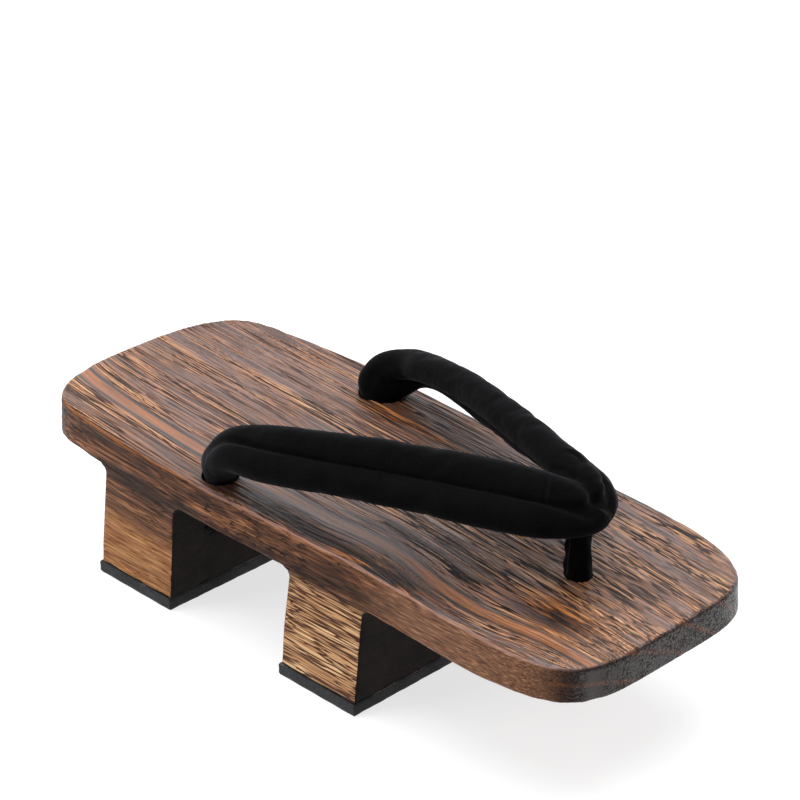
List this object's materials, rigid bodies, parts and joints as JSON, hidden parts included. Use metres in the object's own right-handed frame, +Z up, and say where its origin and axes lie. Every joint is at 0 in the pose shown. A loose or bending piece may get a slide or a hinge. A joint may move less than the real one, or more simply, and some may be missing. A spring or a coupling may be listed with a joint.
{
  "type": "geta sandal",
  "caption": "Raised wooden sandal with a padded V-shaped toe strap, raked teeth cut from the platform's own block, and rubber pads under the teeth.",
  "frame": {"origin": "on the ground under the middle of the block, half way between the toe and the heel", "axes": "+X to the toe, +Y to the wearer's left, +Z up; the sandal is the same on both sides of the plane y = 0"},
  "size_m": [0.2712, 0.1096, 0.0967],
  "materials": {
    "wood": "scorched and brushed paulownia under a gloss lacquer",
    "pad_rubber": "matt dark grey rubber sheet",
    "strap_velvet": "black velvet",
    "cord": "plain dark cotton cord"
  },
  "bodies": {
    "root": {"dai": "wood", "rear_pad": "pad_rubber", "front_pad": "pad_rubber", "strap": "strap_velvet", "front_thong": "strap_velvet", "rear_knot_left": "cord", "rear_knot_right": "cord", "front_knot": "cord"}
  },
  "joints": []
}
